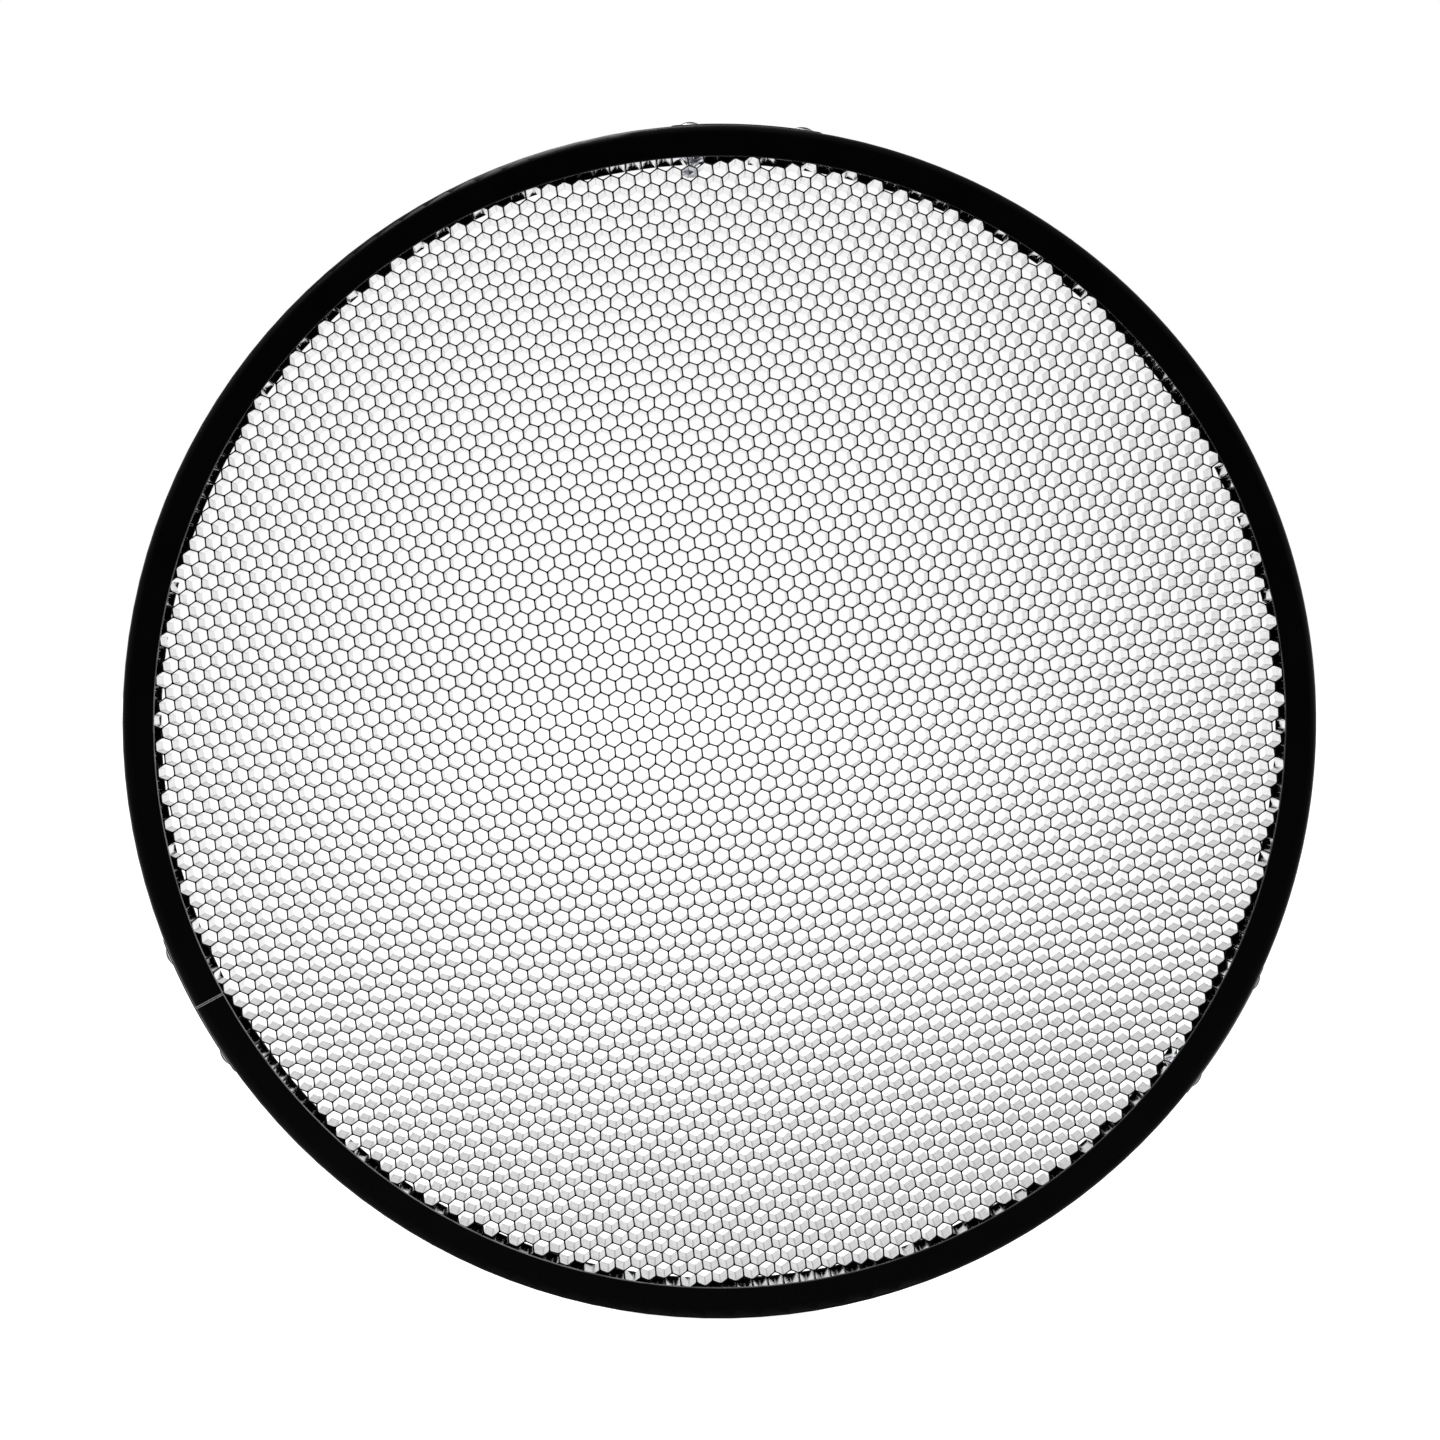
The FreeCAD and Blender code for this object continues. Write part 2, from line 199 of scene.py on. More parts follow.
@dataclass(frozen=True)
class PowderCoat:
    """Black polyester powder coat, melted in an oven onto rolled sheet steel.

    To the eye it is a deep satin black with a fine orange peel. Along the flanges' inner edges it has
    a pale band, partly bare steel where hands hold it and partly a painted highlight, strongest low on
    the ring, where those edges face up to the light, and towards the left. The sheet's butted ends are
    worn to bare steel where their corners are filed round. A real peel is about as coarse as this one,
    so its size isn't changed.
    """

    edge_radius: float
    joint_clock: float
    black: str = "#030304"
    # Bare steel at the filed joint; along the flanges' inner edges also a painted highlight.
    bare_steel_and_highlight: str = "#cfd0d3"
    roughness: tuple[float, float] = (0.22, 0.36)
    specular: float = 0.06
    sheen: float = 0.03
    sheen_roughness: float = 0.3
    cloud_mm: float = 22.0
    peel_mm: float = 0.9
    peel_depth_mm: float = 0.012
    edge_width_mm: float = 0.4
    joint_gap_mm: float = 0.4
    filed_mm: float = 0.35
    pale_share: float = 0.6
    rub_and_highlight_patch_mm: float = 9.0
    rub_and_highlight_patch_edge: tuple[float, float] = (0.35, 0.62)
    # Where the edge band is strongest: low down, as a painted highlight where the edges face up, and
    # towards the left.
    rub_and_highlight_heights: tuple[float, float] = (0.0, 0.14)
    rub_and_highlight_at_heights: tuple[float, float] = (0.6, 0.08)
    rub_and_highlight_sides: tuple[float, float] = (-0.12, 0.1)
    rub_and_highlight_at_sides: tuple[float, float] = (1.0, 0.3)

    def make(self) -> Any:
        """Build the material.

        Returns:
            The material.
        """
        material, tree = new_material("black_powder_coat_on_steel")
        edge, width = self.edge_radius, self.edge_width_mm * MM
        radius, pale_to = radius_from_axis(tree), edge + self.pale_share * width
        # Painted highlight and wear: a pale band along the flanges' inner edges, partly bare steel and
        # partly a painted highlight, strongest low down where the edges face up.
        at_edge = add_node(tree, "MapRange", radius, pale_to, edge + width, 1.0, 0.0)
        edge_worn_and_highlight = add_node(tree, "Math", at_edge, self.rub_and_highlight_share(tree), operation="MULTIPLY")
        gap, filed = self.joint_gap_mm * MM / 2, self.filed_mm * MM
        beside, pale_to = self.distance_from_joint(tree), gap + self.pale_share * filed
        at_joint = add_node(tree, "MapRange", beside, pale_to, gap + filed, 1.0, 0.0)
        worn = add_node(tree, "Math", edge_worn_and_highlight, at_joint, operation="MAXIMUM")
        corner = add_node(tree, "MapRange", beside, gap, gap + filed, -filed, 0.0)
        peel, depth = clouds(tree, self.peel_mm), self.peel_depth_mm * MM
        peel = add_node(tree, "MapRange", peel, 0.0, 1.0, 0.0, depth)
        cloud = clouds(tree, self.cloud_mm, 4.0)
        # The corner's and the peel's heights are in metres, so the bump's own depth is one metre.
        finish_surface(
            tree,
            worn,
            (self.black, self.bare_steel_and_highlight),
            add_node(tree, "Math", corner, peel, operation="ADD"),
            depth_mm=1 / MM,
            Roughness=add_node(tree, "MapRange", cloud, *FULL_CLOUD_RANGE, *self.roughness),
            Specular_IOR_Level=self.specular,
            Sheen_Weight=self.sheen,
            Sheen_Roughness=self.sheen_roughness,
        )
        return material

    def rub_and_highlight_share(self, tree: Any) -> Any:
        """Work out how pale an edge is, as wear and as painted highlight: most at the lower left, by the
        joint.

        Args:
            tree: The node tree.

        Returns:
            The socket with a factor from 0 to 1.
        """
        place = add_node(tree, "TexCoord", output="Object")
        x_y_z = add_node(tree, "SeparateXYZ", place).node.outputs
        # Painted highlight: low on the ring the inner edges face up to the light from above, so the band is
        # painted paler there.
        low = add_node(tree, "MapRange", x_y_z["Z"], *self.rub_and_highlight_heights, *self.rub_and_highlight_at_heights)
        wide = add_node(tree, "MapRange", x_y_z["X"], *self.rub_and_highlight_sides, *self.rub_and_highlight_at_sides)
        both = add_node(tree, "Math", low, wide, operation="MULTIPLY")
        patchy = clouds(tree, self.rub_and_highlight_patch_mm, 3.0)
        patchy = add_node(tree, "MapRange", patchy, *self.rub_and_highlight_patch_edge, 0.5, 1.0)
        return add_node(tree, "Math", both, patchy, operation="MULTIPLY")

    def distance_from_joint(self, tree: Any) -> Any:
        """Work out the distance from the ring's butt joint.

        Args:
            tree: The node tree.

        Returns:
            The socket with the distance from the joint's plane, large on the ring's other side.
        """
        place = add_node(tree, "TexCoord", output="Object")
        across, along = (
            add_node(tree, "VectorMath", place, (x, 0, z), operation="DOT_PRODUCT", output="Value")
            for x, z in (clock_direction(self.joint_clock + 90), clock_direction(self.joint_clock))
        )
        beside = add_node(tree, "Math", across, operation="ABSOLUTE")
        far_side = add_node(tree, "MapRange", along, 0.0, MM, 1.0, 0.0)
        return add_node(tree, "Math", beside, far_side, operation="ADD")


@dataclass(frozen=True)
class CloudySurface:
    """What several finishes share: clouds of two colours and two roughnesses over a fine relief.

    A single roughness is the same all over.
    """

    name: str
    colours: tuple[str, str]
    roughness: float | tuple[float, float]
    cloud_mm: float
    relief_mm: float
    relief_depth_mm: float
    metallic: float = 1.0
    specular: float = 0.5
    cloud_detail: float = 3.0
    colour_range: tuple[float, float] = CLOUD_RANGE
    roughness_range: tuple[float, float] = CLOUD_RANGE

    def make(self) -> Any:
        """Build the material.

        Returns:
            The material.
        """
        material, tree = new_material(self.name)
        cloud = clouds(tree, self.cloud_mm, self.cloud_detail)
        factor = add_node(tree, "MapRange", cloud, *self.colour_range, 0.0, 1.0)
        rough = self.roughness
        if isinstance(rough, tuple):
            rough = add_node(tree, "MapRange", cloud, *self.roughness_range, *rough)
        finish_surface(
            tree,
            factor,
            self.colours,
            clouds(tree, self.relief_mm),
            self.relief_depth_mm,
            Metallic=self.metallic,
            Roughness=rough,
            Specular_IOR_Level=self.specular,
        )
        return material


@dataclass(frozen=True)
class MillFoil(CloudySurface):
    """Bare aluminium foil as it leaves the rolling mill.

    To the eye it is bright and slightly soft in its reflections, with shallow dents from the
    corrugating rolls and a dull bloom here and there.
    """

    name: str = "mill_finish_aluminium_foil"
    colours: tuple[str, str] = ("#f4f4f6", "#d6d7da")
    roughness: tuple[float, float] = (0.05, 0.15)
    cloud_mm: float = 4.0
    relief_mm: float = 2.4
    relief_depth_mm: float = 0.075
    colour_range: tuple[float, float] = (0.4, 0.7)


@dataclass(frozen=True)
class CutFoilEdgeWithPaintedShade(CloudySurface):
    """The core's band-sawn edge: burred foil and torn adhesive, dull to the eye. Its near-black colour is
    painted shade, for the dark lines that the edges show against the light behind.

    The real burr is 0.05 mm fine. It is drawn 0.3 mm coarse, so that it shows.
    """

    name: str = "sawn_foil_edge_and_painted_shade"
    # Painted shade: near black for the dark lines that the sawn edges show against the light behind the
    # core.
    colours: tuple[str, str] = ("#1c1d1f", "#0e0e0f")
    roughness: float = 0.7
    cloud_mm: float = 2.5
    relief_mm: float = 0.3
    relief_depth_mm: float = 0.03
    metallic: float = 0.0
    specular: float = 0.3
    colour_range: tuple[float, float] = (0.4, 0.62)


@dataclass(frozen=True)
class NodeAdhesive(CloudySurface):
    """Cured epoxy film adhesive in the cells' corners.

    To the eye it is a smooth, clear skin. The bright foil behind it shows through, softer than bare.
    """

    name: str = "cured_node_adhesive"
    colours: tuple[str, str] = ("#d4d5d9", "#e8e9ec")
    roughness: float = 0.28
    cloud_mm: float = 3.0
    relief_mm: float = 1.2
    relief_depth_mm: float = 0.02
    metallic: float = 0.9
    cloud_detail: float = 2.0


@dataclass(frozen=True)
class ZincPlatedSteel(CloudySurface):
    """Electroplated zinc on the mandrels' drawn steel: pale, satin and faintly crystalline."""

    name: str = "zinc_plated_steel"
    colours: tuple[str, str] = ("#a9adb3", "#7c8087")
    roughness: tuple[float, float] = (0.3, 0.5)
    cloud_mm: float = 1.2
    relief_mm: float = 0.4
    relief_depth_mm: float = 0.008
    roughness_range: tuple[float, float] = FULL_CLOUD_RANGE


@dataclass(frozen=True)
class TemperedSpringSteel:
    """Tempered spring steel strip, blackened in hot oil.

    To the eye it is dark and metallic, with a satin grain along the strip and paler worn patches.
    The real grain is 0.1 mm fine. It is drawn 0.7 mm coarse, so that it shows.
    """

    dark: str = "#2b2c30"
    worn: str = "#5a5c61"
    roughness: tuple[float, float] = (0.29, 0.46)
    grain_mm: float = 0.7
    grain_stretch: tuple[float, float, float] = (1.0, 0.12, 1.0)
    grain_depth_mm: float = 0.01
    patch_mm: float = 8.0
    worn_edge: tuple[float, float] = (0.2, 0.42)

    def make(self) -> Any:
        """Build the material.

        Returns:
            The material.
        """
        material, tree = new_material("oil_blackened_spring_steel")
        grain = clouds(tree, self.grain_mm, 4.0, self.grain_stretch)
        patch = clouds(tree, self.patch_mm, 3.0)
        worn = add_node(tree, "Math", grain, patch, operation="MULTIPLY")
        worn = add_node(tree, "MapRange", worn, *self.worn_edge, 0.0, 1.0)
        rough = add_node(tree, "MapRange", patch, *CLOUD_RANGE, *self.roughness)
        colours = (self.dark, self.worn)
        finish_surface(tree, worn, colours, grain, self.grain_depth_mm, Metallic=1.0, Roughness=rough)
        return material


@dataclass(frozen=True)
class PaintedRivet:
    """Black stoving enamel on an aluminium rivet's dome.

    To the eye it is smoother and glossier than the powder coat, with small chips. Its thin rim next
    to the clip is coloured bright aluminium, a pale line round the foot of the dome.
    """

    seat_radius: float
    black: str = "#0b0b0d"
    aluminium: str = "#d8d9dc"
    roughness: tuple[float, float] = (0.38, 0.53)
    specular: float = 0.25
    rim_mm: float = 0.55
    pale_share: float = 0.7
    chip_mm: float = 2.2
    chip_edge: tuple[float, float] = (0.68, 0.74)
    chip_wear: float = 0.8
    haze_mm: float = 2.0
    flow_mm: float = 0.8
    flow_depth_mm: float = 0.01

    def make(self) -> Any:
        """Build the material.

        Returns:
            The material.
        """
        material, tree = new_material("black_enamel_on_aluminium")
        seat, rim = self.seat_radius, self.rim_mm * MM
        radius, chips = radius_from_axis(tree), clouds(tree, self.chip_mm, 4.0)
        # The rim next to the clip is coloured bright, metallic aluminium all round.
        bare = add_node(tree, "MapRange", radius, seat + self.pale_share * rim, seat + rim, 1.0, 0.0)
        chips = add_node(tree, "MapRange", chips, *self.chip_edge, 0.0, self.chip_wear)
        worn = add_node(tree, "Math", bare, chips, operation="MAXIMUM")
        haze = clouds(tree, self.haze_mm)
        finish_surface(
            tree,
            worn,
            (self.black, self.aluminium),
            clouds(tree, self.flow_mm),
            self.flow_depth_mm,
            Metallic=worn,
            Roughness=add_node(tree, "MapRange", haze, *FULL_CLOUD_RANGE, *self.roughness),
            Specular_IOR_Level=self.specular,
        )
        return material


def dress_node(name: str, material: Any) -> None:
    """Give a CAD node its finished material.

    Args:
        name: The node's name.
        material: The material for all its slots.
    """
    for slot in frame["nodes"][name].material_slots:
        slot.material = material
    LOG.info("dressed %s in %s", name, material.name)


def mesh_object(name: str, points: np.ndarray, faces: list[list[int]], materials: Iterable[Any]) -> Any:
    """Make a mesh object from points and faces.

    Args:
        name: The object's name.
        points: The vertices, one row each.
        faces: Vertex numbers of each face.
        materials: The object's materials in slot order.

    Returns:
        The new object, linked to the scene.
    """
    mesh = bpy.data.meshes.new(name)
    mesh.from_pydata(points.tolist(), [], faces)
    piece = bpy.data.objects.new(name, mesh)
    bpy.context.scene.collection.objects.link(piece)
    for material in materials:
        mesh.materials.append(material)
    return piece


def turned(way: np.ndarray, degrees: float) -> np.ndarray:
    """Return a direction in x and z, turned counter-clockwise as seen from the front."""
    cosine, sine = math.cos(math.radians(degrees)), math.sin(math.radians(degrees))
    return np.array([cosine * way[0] - sine * way[1], sine * way[0] + cosine * way[1]])


def clock_direction(degrees: float) -> np.ndarray:
    """Return the x and z of the direction at a clock angle, from +Z towards +X."""
    return np.array([math.sin(math.radians(degrees)), math.cos(math.radians(degrees))])


@dataclass(frozen=True)
class Run:
    """A run of ribbon: its corners at the core's front and rear, as rows of x and z.

    For each stretch between two corners, sides has the side of the shared flat that the foil lies
    on: 1 right, -1 left, 0 a slant.
    """

    front: np.ndarray
    rear: np.ndarray
    sides: np.ndarray


@dataclass
class FoilCore:
    """The honeycomb core: corrugated foil ribbons, bonded to each other along their flats.

    Each ribbon runs up the core. Its flats are shared with the ribbons on both sides, so the flat
    walls are double, and its slants are the cells' single walls. The real foil is 0.05 to 0.1 mm
    thick. It is drawn thicker, with its sawn burr and its film of adhesive, so that it shows.
    """

    rivet_clocks: tuple[float, ...]
    row_tilt: float = 7.6
    across_mm: float = 6.633
    up_right_mm: float = 6.436
    up_right_angle: float = 65.6
    foil_mm: float = 0.55
    flat_mm: float = 0.31
    bond_gap_mm: float = 0.01
    rim_gap_mm: float = 0.6
    spare_rows: int = 3
    spare_columns: int = 4
    wander_mm: float = 1.2
    long_waves: tuple[tuple[float, ...], ...] = ((2.1, 0.7, 1.3), (1.9, -0.4, 1.7))
    short_waves: tuple[tuple[float, ...], ...] = ((-0.5, 3.7, 1.1), (0.4, 3.1, -1.9))
    shake_mm: float = 0.10
    shake_kept: float = 0.5
    glue_mm: float = 0.95
    crush_shares: tuple[float, ...] = (0.8, 0.35, 0.25, 0.45, 0.15, 0.25)
    crush_reach_mm: float = 22.0
    crush_width_mm: float = 3.8
    crush_depth_mm: float = 8.5
    crush_levels: int = 7
    push_mm: float = 8.0
    push_shape: float = 1.3
    crease_mm: float = 0.9
    crease_slant: float = 2.2
    crease_rake: float = 0.5
    crease_height_mm: float = 0.7
    crease_lift_mm: float = 0.5
    crease_fade: float = 1.05
    sway_mm: float = 1.3
    sway_rake: float = 1.7
    sway_width_mm: float = 1.1
    seed: int = 11

    def __post_init__(self) -> None:
        """Read the core's envelope from the frame and work out the lattice."""
        low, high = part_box("honeycomb_core")
        self.radius = high[0] - self.rim_gap_mm * MM
        self.front, self.rear = low[1], high[1]
        self.ring_radius = -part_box("ring_channel")[0][0]
        mandrel_front, mandrel_rear = (corner[1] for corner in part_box("mandrel_1"))
        self.rivet_y = (mandrel_front + mandrel_rear) / 2
        tilt, rise = math.radians(self.row_tilt), math.radians(self.up_right_angle)
        self.across = self.across_mm * MM * np.array([math.cos(tilt), math.sin(tilt)])
        self.up_right = self.up_right_mm * MM * np.array([math.cos(rise), math.sin(rise)])
        self.up_left = self.up_right - self.across
        self.rows = int(self.radius / self.up_right[1]) + self.spare_rows
        self.columns = int(self.radius / self.across[0]) + self.rows // 2 + self.spare_columns
        random = np.random.default_rng(self.seed)
        shape = (2 * self.columns + 1, 2 * self.rows + 1, 2, 2)
        self.front_shake = random.normal(0, self.shake_mm * MM, shape)
        fresh = random.normal(0, self.shake_mm * MM, shape)
        self.rear_shake = self.shake_kept * self.front_shake + fresh

    def wander(self, points: np.ndarray) -> np.ndarray:
        """Shift lattice points by the slow waves that expanding the core leaves in it.

        A long wave has a turn along the other axis, its start, and a turn along its own axis. A
        short one has a share, and a turn along each axis. A turn is radians a ring radius.

        Args:
            points: The points, with x and z in the last axis.

        Returns:
            The shifted points.
        """
        place = points / self.ring_radius
        shifts = []
        for axis in (0, 1):
            own, other = place[..., axis], place[..., 1 - axis]
            turn, start, own_turn = self.long_waves[axis]
            share, along, aside = self.short_waves[axis]
            wave = np.sin(turn * other + start) * np.cos(own_turn * own)
            shifts.append(wave + share * np.sin(along * own + aside * other))
        return points + self.wander_mm * MM * np.stack(shifts, axis=-1)

    def ribbon(self, start: int, leans: int) -> Run:
        """Work out the corners of one ribbon, from the lattice's bottom to its top.

        Args:
            start: The column of the ribbon's flat in the middle row.
            leans: 0 if the ribbon goes right above the middle row's flat, 1 if it goes left.

        Returns:
            The whole ribbon.
        """
        rows = np.arange(-self.rows, self.rows + 1)
        right = (rows + leans) % 2 == 0
        left_turns = np.concatenate([[0], np.cumsum(~right[:-1])])
        column = start - (left_turns - left_turns[self.rows])
        inside = np.abs(column) <= self.columns
        rows, column, right = rows[inside], column[inside], right[inside]
        centre = column[:, None] * self.across + rows[:, None] * self.up_right
        bottom = centre + (self.across - self.up_left) / 3
        top = centre + (self.across + self.up_right) / 3
        sides = np.zeros(2 * len(right) - 1, int)
        sides[::2] = np.where(right, 1, -1)
        ends = []
        for shake in (self.front_shake, self.rear_shake):
            moved = shake[column + self.columns, rows + self.rows]
            low = self.wander(bottom) + moved[:, 0]
            high = self.wander(top) + moved[:, 1]
            ends.append(np.stack([low, high], axis=1).reshape(-1, 2))
        return Run(*ends, sides)

    def clip_to_rim(self, ribbon: Run) -> list[Run]:
        """Cut a ribbon where it leaves the core's round rim.

        Args:
            ribbon: The whole ribbon.

        Returns:
            The runs that lie inside the rim.
        """
        inside = np.linalg.norm((ribbon.front + ribbon.rear) / 2, axis=1) < self.radius
        crossings = np.flatnonzero(np.diff(inside, prepend=False, append=False))
        runs = []
        for first, stop in crossings.reshape(-1, 2):
            pairs = list(zip(ribbon.front[first:stop], ribbon.rear[first:stop]))
            if first > 0:
                pairs.insert(0, self.rim_crossing(ribbon, first, first - 1))
            if stop < len(inside):
                pairs.append(self.rim_crossing(ribbon, stop - 1, stop))
            ends = [np.array(end) for end in zip(*pairs)]
            runs.append(Run(*ends, ribbon.sides[max(first - 1, 0) : stop]))
        return runs

    def rim_crossing(self, ribbon: Run, inner: int, outer: int) -> tuple[np.ndarray, np.ndarray]:
        """Find where the stretch between two corners crosses the rim.

        Args:
            ribbon: The whole ribbon.
            inner: The corner inside the rim.
            outer: The corner outside the rim.

        Returns:
            The front and rear points of the crossing.
        """
        front, rear = ribbon.front, ribbon.rear
        a, b = (front[inner] + rear[inner]) / 2, (front[outer] + rear[outer]) / 2
        step = b - a
        along, reach = float(a @ step), float(step @ step)
        share = (-along + math.sqrt(along**2 - reach * (a @ a - self.radius**2))) / reach
        return tuple(end[inner] + share * (end[outer] - end[inner]) for end in (front, rear))

    def strip(self, run: Run, levels: int) -> tuple[np.ndarray, np.ndarray]:
        """Give a run of ribbon its foil thickness.

        A slant is centred on the cells' border. A flat lies beside the border, next to its twin.

        Args:
            run: The run.
            levels: How many rows of points lie between the front and the rear edge, both counted.

        Returns:
            The vertices and the quads. The quads come in rings round each segment: left wall, front
            edge, right wall, rear edge.
        """
        half, flat, gap = (mm * MM for mm in (self.foil_mm / 2, self.flat_mm, self.bond_gap_mm / 2))
        offsets = (
            np.choose(run.sides + 1, (gap + flat, half, -gap)),
            np.choose(run.sides + 1, (gap, -half, -gap - flat)),
        )
        rings = []
        for level in np.linspace(0, 1, levels):
            line = run.front + (run.rear - run.front) * level
            depth = np.full(len(line), self.front + (self.rear - self.front) * level)
            walls = [line + self.mitre(line, offset) for offset in offsets]
            rings.append([np.column_stack([wall[:, 0], depth, wall[:, 1]]) for wall in walls])
        left, right = [ring[0] for ring in rings], [ring[1] for ring in rings]
        loop = right + left[::-1]
        points = np.stack(loop, axis=1)
        count, around = len(run.front), len(loop)
        corner = np.arange(count * around).reshape(count, around)
        following = np.roll(corner, -1, axis=1)
        quads = np.stack([corner[:-1], following[:-1], following[1:], corner[1:]], axis=-1)
        caps = []
        for n in range(levels - 1):
            caps.append(corner[0, [n, -1 - n, -2 - n, n + 1]])
            caps.append(corner[-1, [n, n + 1, -2 - n, -1 - n]])
        return points.reshape(-1, 3), np.vstack([quads.reshape(-1, 4), caps])

    def mitre(self, line: np.ndarray, offset: np.ndarray) -> np.ndarray:
        """Work out how far each corner moves when each stretch moves sideways by its own amount.

        Args:
            line: The corners.
            offset: How far each stretch moves to the left of its direction.

        Returns:
            The shift of each corner.
        """
        flow = np.diff(line, axis=0)
        flow = flow / np.linalg.norm(flow, axis=1)[:, None]
        normal = np.stack([-flow[:, 1], flow[:, 0]], axis=1)
        shift = np.empty_like(line)
        shift[0], shift[-1] = normal[0] * offset[0], normal[-1] * offset[-1]
        before, after, d1, d2 = normal[:-1], normal[1:], offset[:-1], offset[1:]
        cross = before[:, 0] * after[:, 1] - before[:, 1] * after[:, 0]
        shift[1:-1, 0] = (d1 * after[:, 1] - d2 * before[:, 1]) / cross
        shift[1:-1, 1] = (d2 * before[:, 0] - d1 * after[:, 0]) / cross
        return shift

    def glue_fillets(self) -> tuple[np.ndarray, list[list[int]]]:
        """Work out the fillets of adhesive that fill the corners where two ribbons part.

        Returns:
            The vertices and the faces of one three-sided prism for each corner of the cells.
        """
        columns = np.arange(-self.columns, self.columns + 1)
        rows = np.arange(-self.rows, self.rows + 1)
        column, row = np.meshgrid(columns, rows, indexing="ij")
        centre = column[..., None] * self.across + row[..., None] * self.up_right
        upwards = self.up_right + self.up_left
        upwards = upwards / np.linalg.norm(upwards)
        prisms = []
        for end, corner, flat_way in (
            (0, centre + (self.across - self.up_left) / 3, upwards),
            (1, centre + (self.across + self.up_right) / 3, -upwards),
        ):
            arms = np.stack([turned(flat_way, angle) for angle in (0, 120, 240)]) * self.glue_mm * MM
            keep = np.linalg.norm(corner, axis=-1) < self.radius - self.glue_mm * MM
            keep[keep] = ~self.near_rivet(corner[keep])
            ends = []
            for shake, depth in ((self.front_shake, self.front), (self.rear_shake, self.rear)):
                place = (self.wander(corner) + shake[..., end, :])[keep]
                tips = place[:, None] + arms
                ends.append(np.stack([tips[..., 0], np.full(tips.shape[:2], depth), tips[..., 1]], axis=-1))
            prisms.append(np.concatenate(ends, axis=1))
        points = np.concatenate(prisms).reshape(-1, 3)
        sides = [[k, 3 + k, 3 + (k + 1) % 3, (k + 1) % 3] for k in range(3)]
        faces = [[0, 1, 2], [3, 5, 4]] + sides
        return points, [[base + k for k in face] for base in range(0, len(points), 6) for face in faces]

    def rivet_places(self) -> Iterator[tuple[np.ndarray, np.ndarray, float, float]]:
        """Go round the rivets.

        Yields:
            A rivet's direction, the way aside, where its crush starts and how strong it is.
        """
        for clock, share in zip(self.rivet_clocks, self.crush_shares):
            out = clock_direction(clock)
            start = self.radius - self.crush_reach_mm * share**0.5 * MM
            yield out, np.array([out[1], -out[0]]), start, share

    def near_rivet(self, line: np.ndarray) -> np.ndarray:
        """Say which corners lie in the foil that a rivet crushed.

        Args:
            line: The corners.

        Returns:
            True for each crushed corner.
        """
        crushed = np.zeros(len(line), bool)
        for out, aside_way, start, _ in self.rivet_places():
            wide = np.abs(line @ aside_way) < 2 * self.crush_width_mm * MM
            crushed |= (line @ out > start) & wide
        return crushed

    def crush(self, points: np.ndarray) -> np.ndarray:
        """Push the foil inwards round each rivet's blind end and crease it.

        A crease and its sway are waves, whose slant and rake are radians a millimetre along the
        ring's wall and into the core.

        Args:
            points: The vertices of crushed strips.

        Returns:
            The moved vertices.
        """
        moved = points.copy()
        for out, aside_way, start, share in self.rivet_places():
            flat = moved[:, [0, 2]]
            along, aside = flat @ out, flat @ aside_way
            deep = moved[:, 1] - self.rivet_y
            across, down = self.crush_width_mm * MM, self.crush_depth_mm * MM
            width = np.exp(-((aside / across) ** 2) - (deep / down) ** 2)
            push = np.clip((along - start) / (self.radius - start), 0, 1)
            inward = self.push_mm * share * MM * np.sin(math.pi * push) ** self.push_shape * width
            slant, rake = self.crease_slant * aside / MM, self.crease_rake * deep / MM
            crease = np.sin(along / (self.crease_mm * MM) + slant + rake)
            sway = np.cos(along / (self.sway_mm * MM) - self.sway_rake * deep / MM)
            envelope = width * np.sin(math.pi * np.clip(push * self.crease_fade, 0, 1))
            shift = -inward + self.crease_height_mm * MM * crease * envelope
            sideways = self.sway_width_mm * MM * sway * envelope
            moved[:, [0, 2]] = flat + shift[:, None] * out + sideways[:, None] * aside_way
            moved[:, 1] += self.crease_lift_mm * MM * crease * envelope
        return moved

    def split(self, run: Run) -> list[tuple[Run, bool]]:
        """Split a run into plain and crushed parts that share their end corners.

        Args:
            run: The run.

        Returns:
            The parts, each with whether it is crushed.
        """
        crushed = self.near_rivet(run.front)
        between = crushed[:-1] | crushed[1:]
        cuts = [0, *(np.flatnonzero(np.diff(between)) + 1), len(between)]
        parts = []
        for first, stop in zip(cuts, cuts[1:]):
            front, rear = run.front[first : stop + 1], run.rear[first : stop + 1]
            parts.append((Run(front, rear, run.sides[first:stop]), bool(between[first])))
        return parts

    def build(self, foil: Any, edge: Any, glue: Any) -> None:
        """Make the core's pieces: the plain ribbons, the foil that the rivets crushed, the adhesive.

        Args:
            foil: The material of the foil's faces.
            edge: The material of its sawn edges, whose dark colour is painted shade.
            glue: The material of the adhesive.
        """
        stock: dict[bool, list] = {False: [], True: []}
        for start in range(-self.columns, self.columns + 1):
            for leans in (0, 1):
                for run in self.clip_to_rim(self.ribbon(start, leans)):
                    for part, crushed in self.split(run):
                        stock[crushed].append(self.strip(part, self.crush_levels if crushed else 2))
        pieces = [("node_adhesive", glue, *self.glue_fillets())]
        for crushed, name in ((False, "foil_ribbons"), (True, "crushed_foil")):
            counts = np.cumsum([0] + [len(points) for points, _ in stock[crushed]])
            points = np.vstack([points for points, _ in stock[crushed]])
            faces = np.vstack([faces + base for (_, faces), base in zip(stock[crushed], counts)])
            pieces.append((name, foil, self.crush(points) if crushed else points, faces.tolist()))
        for name, face_material, points, faces in pieces:
            piece = mesh_object(name, points, faces, (face_material, edge))
            self.mark_edges(piece)
            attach(piece, "root")
            LOG.info("%s: %d faces", name, len(faces))
            if name == "foil_ribbons":
                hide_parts("honeycomb_core")

